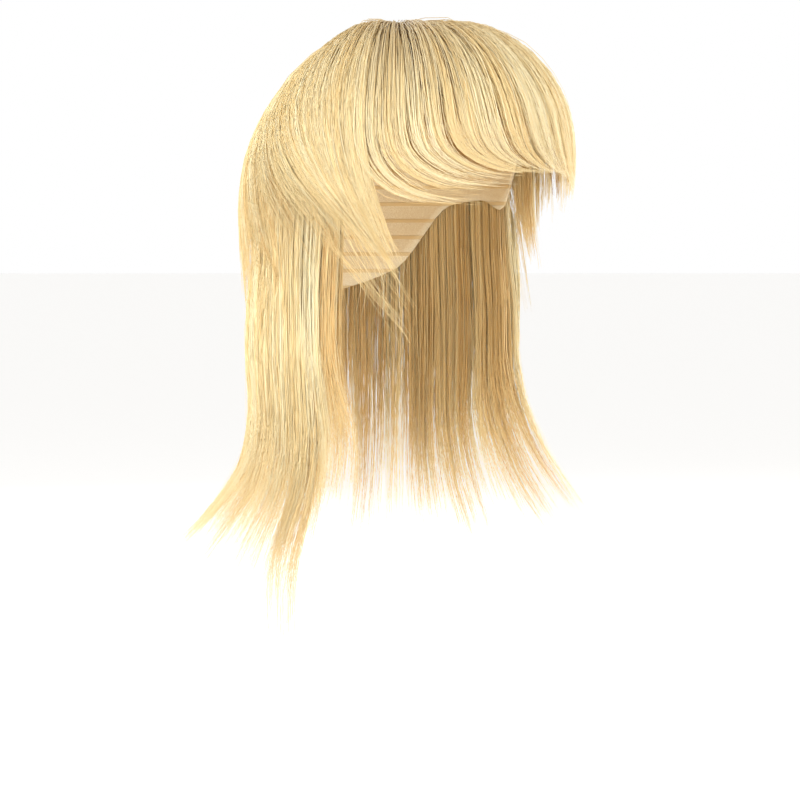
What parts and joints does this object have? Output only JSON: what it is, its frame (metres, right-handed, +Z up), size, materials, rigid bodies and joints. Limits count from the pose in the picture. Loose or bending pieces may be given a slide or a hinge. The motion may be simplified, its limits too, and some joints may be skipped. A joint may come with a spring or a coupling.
{
  "type": "layered wig",
  "caption": "Pale blonde wig on a net cap, with a short domed top layer, a side-swept fringe, temple locks and a longer feathered layer that flicks out at shoulder height",
  "frame": {"origin": "inside of the cap's crown, under the whorl, where the top of the head rests", "axes": "+Z up, the face towards -Y, the wearer's right side at -X"},
  "size_m": [0.2676, 0.2496, 0.398],
  "materials": {
    "blonde_fibre": "heat-resistant synthetic hair fibre in pale golden blonde, with a soft sheen along the strands",
    "cap_net": "stretch net and sewn weft tape in light caramel, matt"
  },
  "bodies": {
    "root": {"cap": "cap_net", "fringe": "blonde_fibre", "crown_layer_right": "blonde_fibre", "crown_layer_left": "blonde_fibre", "crown_layer_back": "blonde_fibre", "long_layer_right": "blonde_fibre", "long_layer_left": "blonde_fibre", "long_layer_back": "blonde_fibre", "temple_lock_right": "blonde_fibre", "temple_lock_left": "blonde_fibre"}
  },
  "joints": []
}
